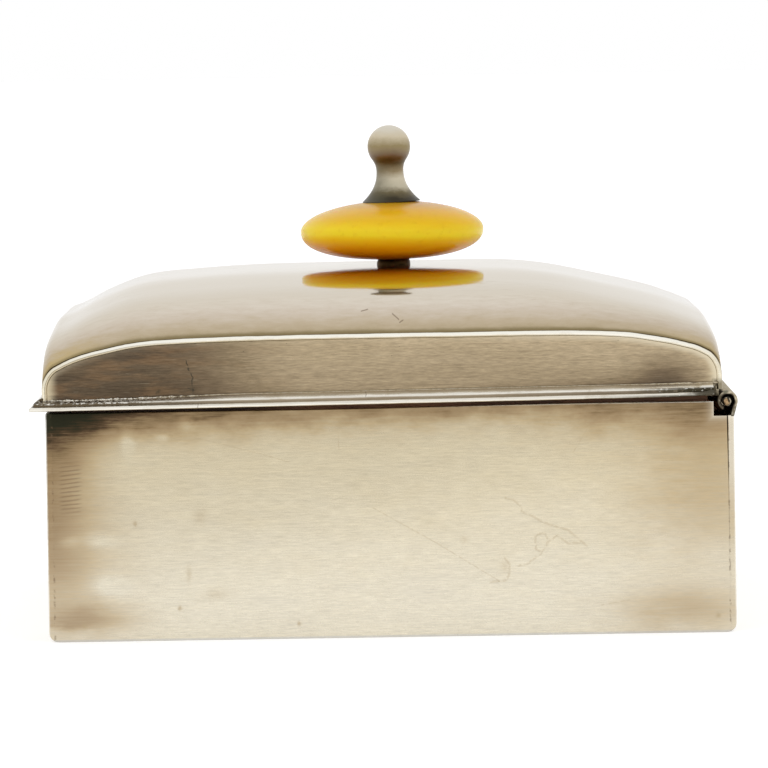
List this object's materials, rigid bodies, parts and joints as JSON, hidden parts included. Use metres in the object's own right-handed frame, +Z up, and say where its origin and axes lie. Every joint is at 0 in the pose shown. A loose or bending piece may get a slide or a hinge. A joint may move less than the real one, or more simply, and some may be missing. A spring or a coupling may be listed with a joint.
{
  "type": "cigarette box",
  "caption": "Rectangular metal table box with a domed lid on a rear barrel hinge, a stepped rim moulding, an amber disc knob with a metal finial, and a divided cedar-lined interior.",
  "frame": {"origin": "centre of the flat base, on the surface that the box stands on", "axes": "+Z up, the front with the rim moulding faces -Y, the hinge runs along X at +Y, and +X is the length, towards the end that the picture shows"},
  "size_m": [0.1242, 0.0926, 0.0661],
  "materials": {
    "body_silver": "tarnished sheet silver, matt with fine scratches and a warm beige patina",
    "lid_silver": "polished silver with light tarnish",
    "end_panel_silver": "brown tarnished silver with horizontal brush lines",
    "trim_silver": "worn bright silver",
    "hinge_silver": "worn silver tube, dark in the joints",
    "cedar": "plain red-brown cedar",
    "amber_resin": "cast amber resin, glossy, slightly translucent",
    "dark_brass": "dark oxidised brass"
  },
  "bodies": {
    "box": {"body_wrapper": "body_silver", "body_end_panel_left": "body_silver", "body_end_panel_right": "body_silver", "lining_floor": "cedar", "lining_front": "cedar", "lining_back": "cedar", "lining_end_left": "cedar", "lining_end_right": "cedar", "lining_divider": "cedar", "hinge_knuckle_body_1": "hinge_silver", "hinge_knuckle_body_2": "hinge_silver", "hinge_knuckle_body_3": "hinge_silver", "hinge_pin": "hinge_silver"},
    "lid": {"lid_dome": "lid_silver", "lid_end_panel_left": "end_panel_silver", "lid_end_panel_right": "end_panel_silver", "lid_bead_left": "trim_silver", "lid_bead_right": "trim_silver", "moulding_front": "trim_silver", "moulding_end_left": "trim_silver", "moulding_end_right": "trim_silver", "hinge_knuckle_lid_1": "hinge_silver", "hinge_knuckle_lid_2": "hinge_silver", "knob_collar": "dark_brass", "knob_disc": "amber_resin", "knob_finial": "trim_silver", "knob_stud": "dark_brass", "knob_washer": "dark_brass", "knob_nut": "dark_brass"}
  },
  "joints": [
    {"name": "lid_hinge", "type": "hinge", "parent": "box", "child": "lid", "pos_m": [0, 0.0442, 0.0303], "axis": [-1, 0, 0], "range_deg": [0, 100]}
  ]
}
